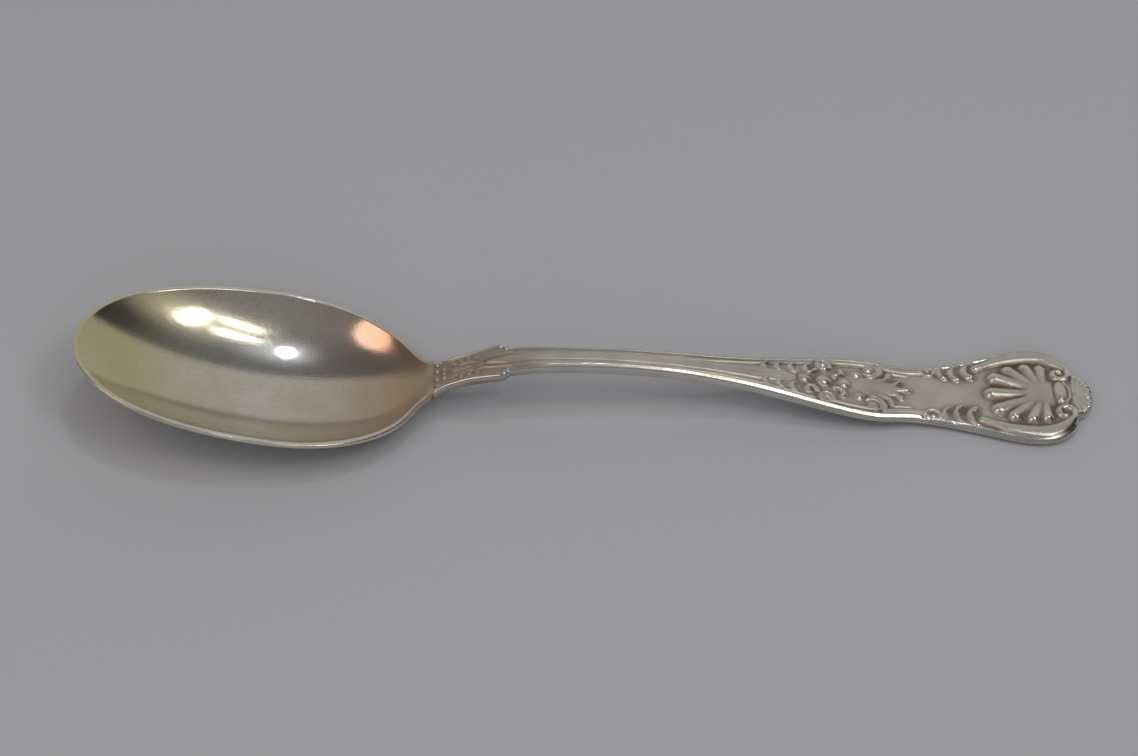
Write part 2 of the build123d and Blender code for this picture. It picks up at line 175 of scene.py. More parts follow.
class Shape:
    """Widths and heights of the spoon at any place along it."""

    def __init__(self, length, bowl_length, bowl_width, bowl_depth, rim_tilt, stem_height, end_width):
        self.tip = -length / 2
        self.end = length / 2
        self.joint = self.tip + bowl_length
        self.bowl_width = bowl_width
        self.bowl_depth = bowl_depth
        self.stem_height = stem_height
        self.end_width = end_width
        self.widest = self.tip + TIP_TO_WIDEST
        self.deepest = self.tip + TIP_TO_DEEPEST
        self.peak = self.joint + NECK_RUN
        self.foot = self.end - FOOT_LENGTH
        self.notch = self.end - CREST_LENGTH
        self.corner = self.notch - CORNER_LENGTH
        self.slope = tan(rim_tilt)
        self.heel_run = self.joint - self.deepest
        tilt_drop = (self.slope * self.heel_run) ** 2 / (4 * bowl_depth)
        self.deepest_rim = BOWL_WALL - WEAR_DEPTH + bowl_depth + tilt_drop
        joint_face = float(self.face(np.array(self.joint)))
        self.joint_lift = joint_face - self.deepest_rim + self.slope * self.heel_run

    def arch(self, x, peak, foot):
        """Side view of the handle: neck arc, stem arc, straight ramp, foot arc and flat foot."""
        run, fall = self.foot - self.peak, peak - foot
        radii = ARCH_SOFTNESS * (run**2 + fall**2) / (2 * fall)
        stem = STEM_SHARE * radii
        toe = radii - stem
        slope = atan2(run, radii - fall) - acos(radii / hypot(run, radii - fall))
        ramp_start = self.peak + stem * sin(slope)
        ramp_end = self.foot - toe * sin(slope)
        off_peak, off_foot = x - self.peak, self.foot - x
        neck_line = peak - NECK_RADIUS + np.sqrt(np.maximum(NECK_RADIUS**2 - off_peak**2, 0))
        stem_line = peak - stem + np.sqrt(np.maximum(stem**2 - off_peak**2, 0))
        ramp_line = peak - stem * (1 - cos(slope)) - (x - ramp_start) * tan(slope)
        toe_line = foot + toe - np.sqrt(np.maximum(toe**2 - off_foot**2, 0))
        steps = [x < self.peak, x < ramp_start, x < ramp_end, x < self.foot]
        return np.select(steps, [neck_line, stem_line, ramp_line, toe_line], foot)

    def face(self, x):
        """Height of the handle's face."""
        return self.arch(x, self.stem_height, END_THICKNESS)

    def back(self, x):
        """Height of the handle's back."""
        return self.arch(x, self.stem_height - STEM_THICKNESS, 0)

    def half_width(self, x):
        """Half the width of the handle, by stations that give a place, a half width and a slope."""
        stations = np.array(
            [
                (self.joint, NECK_HALF, -NECK_SLOPE),
                (self.joint + 4.2, 2.9, 0),
                (self.joint + 9.6, 3.42, 0.08),
                (self.joint + 10.5, 3.1, -0.9),
                (self.joint + 11.3, 2.48, -0.05),
                (self.joint + 24.6, 2.1, 0),
                (self.end - 50.0, 3.3, 0.15),
                (self.end - 32.5, 6.05, 0),
                (self.end - 27.0, 5.55, 0.02),
                (self.end - 18.0, 7.2, 0.31),
                (self.corner, self.end_width / 2, 0),
            ]
        )
        place, half, lean = stations.T
        i = np.clip(np.searchsorted(place, x, side="right") - 1, 0, len(place) - 2)
        run = place[i + 1] - place[i]
        t = unit((x - place[i]) / run)
        start = (2 * t**3 - 3 * t**2 + 1) * half[i] + (t**3 - 2 * t**2 + t) * run * lean[i]
        side = start + (3 * t**2 - 2 * t**3) * half[i + 1] + (t**3 - t**2) * run * lean[i + 1]
        corner_share = unit((x - self.corner) / CORNER_LENGTH)
        corner = self.end_width / 2 - CORNER_DROP * (1 - np.sqrt(1 - corner_share**2))
        crest_share = unit((x - self.notch) / CREST_LENGTH)
        crest = CREST_HALF * np.sqrt(1 - crest_share**2)
        return np.where(x < self.corner, side, np.where(x <= self.notch, corner, crest))

    def heel_share(self, x):
        """0 up to the deepest point of the bowl, rising to 1 at the joint line."""
        return np.maximum(0, x - self.deepest) / self.heel_run

    def rim(self, x):
        """Height of the rim, which tilts up to the tip and sweeps up into the neck."""
        sweep = self.joint_lift * self.heel_share(x) ** HEEL_RISE
        return self.deepest_rim + self.slope * (self.deepest - x) + sweep

    def rim_half(self, x, inset):
        """Half the width of the egg-shaped rim, run into the neck at the heel."""
        half = self.bowl_width / 2 - inset
        tip_share = unit((self.widest - x) / (TIP_TO_WIDEST - TIP_TRIM - inset))
        tip = half * (1 - tip_share**TIP_FULLNESS) ** (1 / TIP_FULLNESS)
        reach = self.joint - HEEL_GAP - inset - self.widest
        turn = self.joint - HEEL_BEND
        heel_share = unit((np.minimum(x, turn) - self.widest) / reach)
        heel = half * (1 - heel_share**HEEL_FULLNESS) ** (1 / HEEL_FULLNESS)
        turn_share = (turn - self.widest) / reach
        turn_half = half * (1 - turn_share**2) ** 0.5
        turn_lean = -half * turn_share / (reach * (1 - turn_share**2) ** 0.5)
        turn_bend = -half / (reach**2 * (1 - turn_share**2) ** 1.5)
        t = unit((x - turn) / HEEL_BEND)
        late = t**3 * (10 - 15 * t + 6 * t**2)
        bent = turn_half * (1 - late) + (NECK_HALF - inset) * late
        bent += HEEL_BEND * turn_lean * (t - t**3 * (6 - 8 * t + 3 * t**2))
        bent += HEEL_BEND**2 * turn_bend * t**2 * (1 - t) ** 3 / 2
        bent += HEEL_BEND * NECK_SLOPE * t**3 * (4 - 7 * t + 3 * t**2)
        return np.where(x < self.widest, tip, np.where(x < turn, heel, bent))

    def hollow_depth(self, x, inset, deepest):
        """Depth below the rim along the middle, with its greatest depth on the tip's side given."""
        tip_share = unit((self.deepest - x) / (TIP_TO_DEEPEST - inset))
        heel_depth = self.bowl_depth * (1 - self.heel_share(x) ** HEEL_FULLNESS)
        return np.where(x < self.deepest, deepest * (1 - tip_share**TIP_FULLNESS), heel_depth)

    def dish(self, y, half, top, deep):
        """Height at y of the circular arc that hangs from two edges."""
        deep = np.maximum(deep, 0.001)
        half = np.maximum(half, 0.01)
        radius = (half**2 + deep**2) / (2 * deep)
        y = np.minimum(np.abs(y), half)
        return top - deep + y**2 / (radius + np.sqrt(np.maximum(radius**2 - y**2, 0)))

    def inside(self, x, y):
        """Height of the bowl's hollow."""
        deep = self.hollow_depth(x, RIM_LAND, self.bowl_depth)
        return self.dish(y, self.rim_half(x, RIM_LAND), self.rim(x), deep)

    def outside(self, x, y):
        """Height of the underside of the bowl."""
        heel = self.heel_share(x) ** NECK_SWELL
        edge = RIM_EDGE + (NECK_SIDE - RIM_EDGE) * heel
        joint_depth = STEM_THICKNESS - BOWL_WALL
        to_tip = self.hollow_depth(x, 0, self.bowl_depth + BOWL_WALL)
        to_heel = self.hollow_depth(x, 0, self.bowl_depth) + BOWL_WALL + joint_depth * heel
        deep = np.where(x < self.deepest, to_tip, to_heel) - edge
        return np.maximum(self.dish(y, self.rim_half(x, 0), self.rim(x) - edge, deep), 0)


def shape_values(sizes):
    """The panel's sizes in millimetres, in the order that Shape takes them."""
    bowl = (sizes.length, sizes.bowl_length, sizes.bowl_width, sizes.bowl_depth)
    handle = (sizes.stem_height, sizes.end_width)
    tilt = round(sizes.rim_tilt, 6)
    return (*(round(v / MM, 4) for v in bowl), tilt, *(round(v / MM, 4) for v in handle))


# Meshes


def add_object(name, data):
    """Makes an object in the scene."""
    item = bpy.data.objects.new(name, data)
    bpy.context.scene.collection.objects.link(item)
    return item


def make_piece(name, points, faces, material, node_names, normals=None, marks=None, caps_at=None):
    """Makes a mesh object from points in millimetres, lets it ride and stands it in for solids."""
    mesh = bpy.data.meshes.new(name)
    mesh.from_pydata((np.asarray(points) * MM).tolist(), [], faces)
    mesh.validate()
    mesh.shade_smooth()
    if caps_at is not None:
        for face in mesh.polygons:
            if abs(face.normal.x) > 0.9 and abs(face.center.x / MM - caps_at) < CAP_REACH:
                face.use_smooth = False
    for mark, values in (marks or {}).items():
        mesh.attributes.new(mark, "FLOAT", "POINT").data.foreach_set("value", values.astype(np.float32))
    if normals is not None:
        mesh.normals_split_custom_set_from_vertices(normals.tolist())
    mesh.materials.append(material)
    piece = add_object(name, mesh)
    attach(piece, "root")
    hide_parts(*node_names)
    return piece


def grid_faces(rows, columns, first=0, wrap=False, flip=False):
    """Quads of a grid of points numbered row by row."""
    i, j = np.meshgrid(np.arange(rows - 1), np.arange(columns if wrap else columns - 1), indexing="ij")
    k = (j + 1) % columns
    corners = [i * columns + j, (i + 1) * columns + j, (i + 1) * columns + k, i * columns + k]
    quads = np.stack(corners[::-1] if flip else corners, axis=-1).reshape(-1, 4) + first
    return quads.tolist()


def ring_shares(count):
    """Shares of the way from the middle to the rim, closer together near the rim."""
    return 1 - (1 - np.linspace(0.02, 1, count)) ** 1.25


def build_bowl(settings):
    """The bowl as rings round its deepest point: hollow, rim, edge and underside."""
    shape = Shape(*shape_values(settings.sizes))
    around = 360
    inside_rings, underside_rings = 56, 50
    halvings = 48
    angles = np.arange(around) * 2 * pi / around

    def reach(inset):
        """Distance from the deepest point to the rim, moved in by an inset."""
        low, high = np.zeros(around), np.full(around, shape.bowl_width * 2)
        for _ in range(halvings):
            middle = (low + high) / 2
            x, y = shape.deepest + middle * np.cos(angles), np.abs(middle * np.sin(angles))
            within = (x < shape.joint - inset / 8) & (x > shape.tip + TIP_TRIM + inset)
            within &= y < shape.rim_half(x, inset)
            low, high = np.where(within, middle, low), np.where(within, high, middle)
        return low

    def ring(radius):
        """Places round the deepest point."""
        return shape.deepest + radius * np.cos(angles), radius * np.sin(angles)

    # Each ring holds places, heights and how far use has worn the metal white, which also paints the rim's
    # highlight
    outer, inner = reach(0), reach(RIM_LAND)
    at_joint = ring(outer)[0] > shape.joint - 0.001
    rings = []
    for share in ring_shares(inside_rings):
        x, y = ring(inner * share)
        rings.append((x, y, shape.inside(x, y), 0 * x))
    for inset in np.array([0.8, 0.55, 0.3, 0.22, 0.14, 0.08, 0.04, 0.01, 0]) * RIM_LAND:
        x, y = ring(outer + (inner - outer) * inset / RIM_LAND)
        edge = RIM_ROUND + (FACE_ROUND - RIM_ROUND) * shape.heel_share(x) ** HEEL_RISE
        drop = edge - np.sqrt(edge**2 - np.maximum(edge - inset, 0) ** 2)
        to_tip = unit((shape.widest - x) / TIP_TO_WIDEST)
        worn_highlight = 0.65 * (1 - shape.heel_share(x) ** 6) * (1 - 0.7 * to_tip**3)
        rings.append((x, y, np.where(at_joint, shape.inside(x, y), shape.rim(x) - drop), worn_highlight))
    x, y = ring(outer)
    rings.append((x, y, (rings[-1][2] + shape.outside(x, y)) / 2, rings[-1][3]))
    for share in ring_shares(underside_rings)[::-1]:
        x, y = ring(outer * share)
        rings.append((x, y, shape.outside(x, y), 0 * x))
    points = np.concatenate([np.stack(r, axis=-1) for r in rings])
    faces = grid_faces(len(rings), around, wrap=True)

    # Two points close the hollow and the underside
    last = len(points) - around
    top, bottom = len(points), len(points) + 1
    x, y = np.array([shape.deepest]), np.zeros(1)
    centres = [(x[0], 0, shape.inside(x, y)[0], 0), (x[0], 0, shape.outside(x, y)[0], 0)]
    points = np.concatenate([points, centres])
    faces += [(top, i, (i + 1) % around) for i in range(around)]
    faces += [(bottom, last + (i + 1) % around, last + i) for i in range(around)]
    return make_piece(
        "bowl_metal",
        points[:, :3],
        faces,
        polished_silver(settings.colours),
        ["bowl"],
        marks={"wear_and_highlight": points[:, 3]},
        caps_at=shape.joint,
    )


# Struck relief on the handle's face, as rounded ridges along paths


class Struck:
    """Heights raised on a grid of places by ridges, kept apart for each group of relief."""

    def __init__(self, x, y, edge):
        self.x, self.y, self.edge = x, np.abs(y), edge
        self.groups = {}

    def raise_by(self, group, height):
        """Raises a group wherever it isn't as high yet."""
        self.groups[group] = np.maximum(self.groups.get(group, 0), height)

    def ridge(self, group, path, radii, heights, fullness=0.5):
        """A ridge along a path, with a radius and a height at each point or one for all."""
        radii = np.broadcast_to(radii, len(path))
        heights = np.broadcast_to(heights, len(path))
        best = np.zeros_like(self.x)
        for k in range(len(path) - 1):
            start, stop = np.array(path[k]), np.array(path[k + 1])
            wide = max(radii[k], radii[k + 1])
            near = (self.x > min(start[0], stop[0]) - wide) & (self.x < max(start[0], stop[0]) + wide)
            near &= (self.y > min(start[1], stop[1]) - wide) & (self.y < max(start[1], stop[1]) + wide)
            x, y = self.x[near] - start[0], self.y[near] - start[1]
            along = stop - start
            t = unit((x * along[0] + y * along[1]) / max(along @ along, 1e-9))
            off = np.hypot(x - t * along[0], y - t * along[1]) / (radii[k] + (radii[k + 1] - radii[k]) * t)
            tall = heights[k] + (heights[k + 1] - heights[k]) * t
            best[near] = np.maximum(best[near], tall * unit(1 - off**2) ** fullness)
        self.raise_by(group, best)

    def pearl(self, group, x, y, rx, ry, height, fullness=0.5):
        """An oval dome."""
        off = ((self.x - x) / rx) ** 2 + ((self.y - y) / ry) ** 2
        self.raise_by(group, height * unit(1 - off) ** fullness)


def curl(x, y, start, end, from_angle, to_angle, steps=28):
    """Points on a spiral round an eye, from one radius and angle in degrees to another."""
    share = np.linspace(0, 1, steps)
    angle = np.radians(from_angle + (to_angle - from_angle) * share)
    radius = start + (end - start) * share
    return list(zip(x + radius * np.cos(angle), y + radius * np.sin(angle)))


def bend(points, steps=8):
    """A smooth path through a few points."""
    points = np.array(points, float)
    ends = np.concatenate([[2 * points[0] - points[1]], points, [2 * points[-1] - points[-2]]])
    path = []
    for a, b, c, d in zip(ends, ends[1:], ends[2:], ends[3:]):
        for t in np.arange(steps) / steps:
            square = (a - 2.5 * b + 2 * c - d / 2) * t**2
            cube = (1.5 * (b - c) + (d - a) / 2) * t**3
            path.append(b + (c - a) * t / 2 + square + cube)
    return [*path, points[-1]]


def taper(start, end, count):
    """Values that go evenly from one to another."""
    return np.linspace(start, end, count)


def span(x, start, stop, soft=0.5):
    """1 between two places, with soft ends."""
    return unit((x - start) / soft) * unit((stop - x) / soft)


def roll(off, half):
    """Round profile of a thread, by the distance from its middle."""
    return unit(1 - (off / half) ** 2) ** 0.5


def bevel(edge, width, soft=0.2):
    """Profile of an edge thread: a slope up from the edge and a short fall behind it."""
    return unit(edge / width) * unit((width + soft - edge) / soft)


def strike(face, shape):
    """Raises every group of relief on the handle's face."""
    joint, end = shape.joint, shape.end
    x, y, edge = face.x, face.y, face.edge

    def from_end(*places):
        """A smooth path through places given by their distance from the end and from the middle."""
        return bend([(end - back, out) for back, out in places])

    # Neck: threads on both edges, beads at the joint line, husks, a pointed leaf and two lines
    face.raise_by("neck_leaf", 0.26 * span(x, joint + 0.3, joint + 10.9) * bevel(edge, 0.62))
    for out in (0.8, 2.2):
        face.pearl("neck_leaf", joint + 0.5, out, 0.4, 0.42, 0.32)
    for out in (0, 0.9):
        face.pearl("neck_leaf", joint + 1.5, out, 0.34, 0.36, 0.26)
    for step in range(4):
        husk = curl(joint + 3.2 + 1.15 * step, 1.5 - 0.05 * step, 0.4, 0.4, 140, 320, 10)
        face.ridge("neck_leaf", husk, taper(0.26, 0.16, 10), 0.2)
    leaf = [(joint + 2.8, 0), (joint + 4.6, 0), (joint + 6.6, 0)]
    face.ridge("neck_leaf", leaf, [0.4, 0.5, 0.12], [0.2, 0.26, 0.1])
    lines = (
        (((3.6, 0.75), (5.6, 0.7), (7.2, 0.12)), 0.2, 0.22),
        (((6.9, 0.75), (8.6, 1.2), (11.2, 1.4)), 0.24, 0.24),
    )
    for places, radius, height in lines:
        face.ridge("neck_leaf", bend([(joint + far, out) for far, out in places]), radius, height)

    # Stem: a thread on each edge, which doubles where the handle widens, and a middle rib
    double = unit((x - (end - 64)) / 14)
    stem = span(x, joint + 10.8, end - 41, 0.3)
    face.raise_by("edge_thread", 0.32 * stem * bevel(edge, 0.62 + 0.18 * double))
    face.raise_by("edge_thread", (0.04 + 0.16 * double) * stem * roll(edge - 1.25, 0.22))
    rib_places = [joint + 7.4, joint + 10.2, joint + 24.6, end - 54, end - 49, end - 46, end - 43.6]
    rib_half = np.interp(x, rib_places, [0.15, 0.75, 0.72, 1.0, 1.3, 1.15, 0.3])
    opened = unit((x - (end - 56)) / 6)
    grooves = 1 - 0.3 * opened * (0.5 + 0.5 * np.cos(y / rib_half * 3 * pi))
    rib = unit(1 - (y / rib_half) ** 4) ** 0.5 * span(x, joint + 7.4, end - 43.6, 0.3)
    face.raise_by("stem_rib", 0.25 * rib * grooves)

    # Border of the middle: edge thread, flat band and a fine line inside it, all stopped at the waist
    border = span(x, end - 42, end - 25.3, 0.4)
    face.raise_by("edge_thread", 0.34 * border * bevel(edge, 0.8))
    face.raise_by("edge_thread", 0.3 * span(x, end - 31.6, end - 25.2, 0.3) * roll(edge - 1.38, 0.5))
    face.raise_by("edge_thread", 0.24 * span(x, end - 30, end - 26.6) * roll(edge - 2.25, 0.26))
    face.raise_by("edge_thread", 0.26 * span(x, end - 25.2, end - 14.8, 0.8) * bevel(edge, 0.62))

    # Husk rows beside the rib's leaf
    for back, out in ((48.5, 1.6), (46.5, 1.8), (44.5, 2.0), (42.3, 2.15)):
        husk = curl(end - back + 0.8, out, 0.85, 0.85, 255, 105, 14)
        face.ridge("husk_rows", husk, 0.34, taper(0.26, 0.4, len(husk)))

    # Blossom: a line of balls with petals
    balls = ((42.6, 0, 1.02, 1.02, 0.5), (39.7, 0, 1.15, 1.15, 0.6), (36.7, 0, 0.9, 1.1, 0.48))
    for back, *ball in (*balls, (34.6, 2.3, 0.78, 0.7, 0.4)):
        face.pearl("middle_blossom", end - back, *ball, 0.7)
    face.ridge("middle_blossom", from_end((42.0, 1.35), (41.2, 1.6), (40.7, 2.3)), 0.4, 0.42)
    petal = from_end((38.0, 1.25), (37.0, 1.7), (37.0, 2.6))
    face.ridge("middle_blossom", petal, taper(0.5, 0.36, len(petal)), 0.5)

    # Middle scrolls: a small and a large volute joined by a band along the border
    small, large = (end - 39.5, 3.35), (end - 32.7, 3.8)
    face.ridge("middle_scrolls", curl(*small, 0.98, 0.98, 90, 450), 0.26, 0.44)
    face.pearl("middle_scrolls", *small, 0.68, 0.68, 0.56, 0.7)
    face.raise_by("middle_scrolls", 0.42 * span(x, end - 39.6, end - 31.6) * roll(edge - 1.42, 0.5))
    face.pearl("middle_scrolls", *large, 0.9, 0.9, 0.46, 0.7)
    face.ridge("middle_scrolls", curl(*large, 1.3, 1.22, -130, 80), 0.22, 0.42)
    face.ridge("middle_scrolls", curl(*large, 1.86, 1.8, -95, 30), taper(0.2, 0.26, 28), 0.42)

    # Palmette: leaves that spread towards the broad end, the outer ones curled outwards
    fronds = (
        ([(35.4, 0), (31, 0), (27.1, 0)], (0.5, 0.88, 0.4)),
        ([(34.6, 0.6), (31.4, 0.75), (29.2, 0.95), (28.3, 1.7)], (0.4, 0.58, 0.4)),
        ([(34.0, 1.35), (31.8, 1.5), (30.3, 2.05), (29.8, 3.25)], (0.4, 0.5, 0.38)),
    )
    for places, girth in fronds:
        path = from_end(*places)
        radii = np.interp(np.linspace(0, 2, len(path)), range(3), girth)
        face.ridge("palmette", path, radii, 0.1 + 0.36 * taper(0, 1, len(path)) ** 1.4, 0.7)

    # Waist: a bead that stops the border, a small C-scroll, and husks that lead into the end
    face.pearl("waist_scrolls", end - 25.3, 4.3, 0.42, 0.62, 0.4)
    face.ridge("waist_scrolls", curl(end - 23.8, 4.7, 1.15, 1.0, 160, 385), 0.3, 0.36)
    face.pearl("waist_scrolls", end - 23.9, 4.85, 0.46, 0.4, 0.36)
    for back, out, head in ((21.4, 3.1, 0.36), (19.6, 2.9, 0.52), (17.6, 3.4, 0.68)):
        husk = curl(end - back + 0.85, out + 1.5, 1.72, 1.72, 100, 240, 16)
        tall = taper(0.24, 0.26 + head / 2, len(husk))
        face.ridge("waist_husks", husk, taper(0.24, head, len(husk)), tall)

    # Shell: teardrop flutes that spread from one hub
    hub = end - 7.0
    face.pearl("end_shell", hub - 0.7, 0, 3.2, 3.2, 0.52, 1.0)
    flutes = ((0, 9.0, 1.22), (25, 8.9, 1.22), (44, 7.9, 1.12), (66, 6.8, 1.02), (88, 6.0, 0.88))
    for angle, reach, head in flutes:
        away = np.array((-cos(radians(angle)), sin(radians(angle))))
        path = [np.array((hub, 0)) + away * far for far in (2.2, reach * 0.58, reach - head)]
        face.ridge("end_shell", path, [0.5, 0.84 * head, head], [0.34, 0.56, 0.76], 0.6)

    # End scrolls: an edge thread and a broad band along each corner that curls into a volute
    face.raise_by("end_scrolls", 0.26 * span(x, end - 17, end - 2.8, 1.2) * bevel(edge, 0.6))
    band = from_end((16.7, 5.45), (14.8, 6.35), (12.5, 7.3), (10, 7.9), (7.7, 7.95), (5.5, 7.2), (3.9, 5.9))
    wide = np.interp(np.linspace(0, 6, len(band)), range(7), [0.68, 0.76, 1.05, 1.26, 1.26, 1.1, 0.82])
    face.ridge("end_scrolls", band, wide, np.interp(wide, [0.68, 1.26], [0.5, 0.62]))
    volute = curl(end - 4.45, 4.1, 1.66, 0.5, 62, -300)
    face.ridge("end_scrolls", volute, taper(0.7, 0.36, len(volute)), taper(0.62, 0.46, len(volute)))

    # Boss between the volutes with a rim behind it
    face.pearl("end_boss", end - 4.75, 0, 1.05, 2.5, 0.82)
    face.ridge("end_boss", from_end((3.3, 0), (3.5, 1.3), (4.1, 2.4)), 0.26, 0.4)

    # Crest: a fan of small flutes on the rounded tip
    for angle in np.arange(6) * 15.5:
        away = np.array((cos(radians(angle)), sin(radians(angle))))
        reach = 2.5 + 1.5 * abs(sin(radians(angle))) ** 1.5
        path = [np.array((end - 3.1, 0)) + away * far for far in (0.8, reach)]
        face.ridge("end_crest", path, [0.16, 0.42], [0.16, 0.36])


def soften(field, passes):
    """Averages each place with its neighbours, which rounds the roots of the relief."""
    for _ in range(passes):
        padded = np.pad(field, 1, mode="edge")
        field = (padded[:-2, 1:-1] + 2 * padded[1:-1, 1:-1] + padded[2:, 1:-1]) / 4
        padded = np.pad(field, 1, mode="edge")
        field = (padded[1:-1, :-2] + 2 * padded[1:-1, 1:-1] + padded[1:-1, 2:]) / 4
    return field


@lru_cache(maxsize=1)
def struck_face(values, relief):
    """The handle's face as a grid: its plain heights, the relief on it and who owns each cell."""
    shape = Shape(*values)

    # Rows lie closer together where the relief is, and columns towards the edges
    fine = np.arange(shape.joint, shape.end, 0.004)
    half = shape.half_width(fine)
    step = np.hypot(np.diff(fine), np.diff(half))
    gap_places = [shape.joint, shape.joint + 11, shape.joint + 14, shape.end - 64, shape.end - 52]
    gap = np.interp(fine, gap_places, [0.16, 0.16, 0.3, 0.3, 0.17])
    travel = np.concatenate([[0], np.cumsum(step / gap[1:])])
    rows = np.interp(np.arange(0, int(travel[-1]) + 1), travel, fine)
    rows = np.append(rows, shape.end - 0.0005)
    t = np.linspace(-1, 1, 121)
    across = 0.5 * t + 0.5 * np.sin(pi * t / 2)
    x = np.repeat(rows[:, None], len(across), axis=1)
    y = shape.half_width(rows)[:, None] * across[None, :]

    # Distance of each place from the outline, with the step at the notch before the crest
    notch_steps = 40
    outline_x = np.concatenate([fine[::4], np.full(notch_steps, shape.notch)])
    notch_y = np.linspace(CREST_HALF, shape.end_width / 2 - CORNER_DROP, notch_steps)
    outline_y = np.concatenate([half[::4], notch_y])
    outline = KDTree(len(outline_x))
    for i, (px, py) in enumerate(zip(outline_x, outline_y)):
        outline.insert((px, py, 0), i)
    outline.balance()
    edge = np.array([outline.find((px, abs(py), 0))[2] for px, py in zip(x.ravel(), y.ravel())])
    edge = edge.reshape(x.shape)
    edge[:, 0] = edge[:, -1] = 0

    # Plain face: domed over the broad end and rounded along its edges
    crown = CROWN_RISE * unit((x - (shape.end - 56)) / 14) * (1 - across[None, :] ** 2)
    crown *= unit((shape.end - x) / 3)
    round_off = FACE_ROUND - np.sqrt(np.maximum(FACE_ROUND**2 - np.maximum(FACE_ROUND - edge, 0) ** 2, 0))
    plain = shape.face(x) + crown - round_off

    # Each cell belongs to the group that stands highest there
    face = Struck(x, y, edge)
    strike(face, shape)
    names = list(face.groups)
    heights = np.stack([soften(face.groups[name], 3) for name in names]) * relief
    total = heights.max(axis=0)
    cell = (heights[:, :-1, :-1] + heights[:, 1:, :-1] + heights[:, 1:, 1:] + heights[:, :-1, 1:]) / 4
    owner = np.where(cell.max(axis=0) > RELIEF_LEAST, cell.argmax(axis=0), -1)
    top = np.stack([x, y, plain + total], axis=-1)
    normal = np.cross(np.gradient(top, axis=0), np.gradient(top, axis=1))
    normal /= np.maximum(np.linalg.norm(normal, axis=-1, keepdims=True), 1e-9)

    # Marks of use: tarnished recesses, and ridges and edges that are worn bright, with a painted highlight
    # on them
    level = soften(total, 14)
    recess = unit((level - total) / RECESS_DEPTH)
    worn_highlight_edge = 0.9 * unit((WORN_HIGHLIGHT_EDGE - edge) / 0.2)
    wear_and_highlight = np.maximum(unit((total - level) / WORN_HIGHLIGHT_RISE), worn_highlight_edge)
    return SimpleNamespace(
        shape=shape,
        rows=rows,
        across=across,
        plain=plain,
        top=top,
        normal=normal,
        names=names,
        owner=owner,
        marks={"recess": recess.reshape(-1), "wear_and_highlight": wear_and_highlight.reshape(-1)},
    )


def build_relief(settings, group):
    """One group of relief: its own cells of the struck face, closed underneath."""
    struck = struck_face(shape_values(settings.sizes), settings.sizes.relief)
    mine = struck.owner == struck.names.index(group)
    columns = struck.top.shape[1]
    i, j = np.nonzero(mine)
    near, far = i * columns + j, (i + 1) * columns + j
    used, local = np.unique(np.stack([near, far, far + 1, near + 1], axis=-1), return_inverse=True)
    local = local.reshape(-1, 4)
    count = len(used)
    upper = struck.top.reshape(-1, 3)[used]
    lower = upper.copy()
    lower[:, 2] = struck.plain.reshape(-1)[used] - RELIEF_ROOT
    faces = local.tolist() + (local[:, ::-1] + count).tolist()

    # Walls where the neighbouring cell is another's: steps to the neighbour and the two corners between
    padded = np.pad(mine, 1)
    for row_step, column_step, first, second in ((0, -1, 0, 1), (1, 0, 1, 2), (0, 1, 2, 3), (-1, 0, 3, 0)):
        open_side = ~padded[i + 1 + row_step, j + 1 + column_step]
        a, b = local[open_side, first], local[open_side, second]
        faces += np.stack([b, a, a + count, b + count], axis=-1).tolist()
    normals = struck.normal.reshape(-1, 3)[used]
    return make_piece(
        group + "_relief",
        np.concatenate([upper, lower]),
        faces,
        struck_silver(settings.colours),
        [group],
        normals=np.concatenate([normals, -normals]),
        marks={name: np.tile(mark[used], 2) for name, mark in struck.marks.items()},
    )


def build_handle(settings):
    """The handle's blank: plain face, upright sides and a back with rounded edges."""
    struck = struck_face(shape_values(settings.sizes), settings.sizes.relief)
    shape, rows = struck.shape, struck.rows
    count, columns = struck.plain.shape
    upper = struck.top.copy()
    upper[..., 2] = struck.plain

    # The back bulges as the bowl's underside does at the joint line, and is rounder along the stem
    few = struck.across[::2]
    x = np.repeat(rows[:, None], len(few), axis=1)
    to_end = unit((x - shape.peak) / (shape.foot - shape.peak))
    from_joint = unit((x - shape.joint) / 6)
    side = STEM_THICKNESS - NECK_SIDE + 0.5 * from_joint - 0.75 * to_end
    round_power = 2 + 0.6 * to_end
    rounded = 1 - (1 - np.abs(few[None, :]) ** round_power) ** (1 / round_power)
    rise = few[None, :] ** 2 * (1 - from_joint) + rounded * from_joint
    y = shape.half_width(rows)[:, None] * few[None, :]
    lower = np.stack([x, y, shape.back(x) + side * rise], axis=-1)

    first = count * columns
    faces = grid_faces(count, columns) + grid_faces(count, len(few), first, flip=True)
    for r in range(count - 1):
        a, b = r * columns, (r + 1) * columns
        c, d = first + r * len(few), first + (r + 1) * len(few)
        faces.append((a, c, d, b))
        faces.append((b + columns - 1, d + len(few) - 1, c + len(few) - 1, a + columns - 1))
    for r, flip in ((0, False), (count - 1, True)):
        above = list(range(r * columns, (r + 1) * columns))
        below = list(range(first + r * len(few), first + (r + 1) * len(few)))
        loop = above + below[::-1]
        faces.append(loop[::-1] if flip else loop)
    unmarked = np.zeros(count * len(few))
    return make_piece(
        "handle_blank",
        np.concatenate([upper.reshape(-1, 3), lower.reshape(-1, 3)]),
        faces,
        struck_silver(settings.colours),
        ["handle"],
        marks={name: np.concatenate([mark, unmarked]) for name, mark in struck.marks.items()},
        caps_at=shape.joint,
    )


# Materials


def add_node(tree, kind, inputs=None, **properties):
    """Adds a node with its settings. An input that is given a socket is linked to it."""
    node = tree.nodes.new(kind)
    for name, value in properties.items():
        setattr(node, name, value)
    for name, value in (inputs or {}).items():
        if isinstance(value, bpy.types.NodeSocket):
            tree.links.new(value, node.inputs[name])
        else:
            node.inputs[name].default_value = value
    return node


